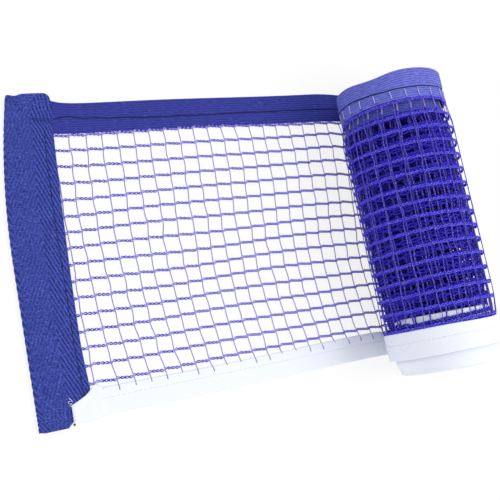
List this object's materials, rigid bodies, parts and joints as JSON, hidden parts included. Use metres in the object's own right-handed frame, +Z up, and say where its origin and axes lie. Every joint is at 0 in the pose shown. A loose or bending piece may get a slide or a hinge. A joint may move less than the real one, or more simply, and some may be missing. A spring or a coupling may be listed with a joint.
{
  "type": "table tennis net",
  "caption": "Table tennis net partly unrolled: square knitted mesh with a blue hem tape, a white top tape and a woven post sleeve at each end, the rest wound in a roll",
  "frame": {"origin": "middle of the underside of the whole net's box, on the surface it lies on", "axes": "+X along the net from the flat sleeve to the roll, +Y across the net from the white top tape to the blue hem, +Z up"},
  "size_m": [0.234, 0.1699, 0.0584],
  "materials": {
    "twill_blue": "herringbone twill tape",
    "hem_blue": "ribbed woven hem tape",
    "mesh_violet": "knitted chain-stitch cord",
    "thread_violet": "thin inlaid cross thread",
    "tape_white": "white cotton tape",
    "seam_navy": "dark blue sewing thread",
    "seam_sky": "light blue sewing thread",
    "seam_white": "white sewing thread"
  },
  "bodies": {
    "root": {"outer_sleeve": "twill_blue", "outer_sleeve_seam": "seam_navy", "outer_sleeve_end_seams": "seam_sky", "inner_sleeve": "twill_blue", "inner_sleeve_seam": "seam_navy", "flat_cords": "mesh_violet", "outer_turn_cords": "mesh_violet", "inner_turns_cords": "mesh_violet", "flat_cross_threads": "thread_violet", "rolled_cross_threads": "thread_violet", "flat_bottom_hem": "hem_blue", "outer_turn_bottom_hem": "hem_blue", "inner_turns_bottom_hem": "hem_blue", "flat_hem_seam": "seam_navy", "outer_turn_hem_seam": "seam_navy", "flat_top_tape": "tape_white", "outer_turn_top_tape": "tape_white", "inner_turns_top_tape": "tape_white", "flat_tape_seam": "seam_white", "outer_turn_tape_seam": "seam_white"}
  },
  "joints": []
}
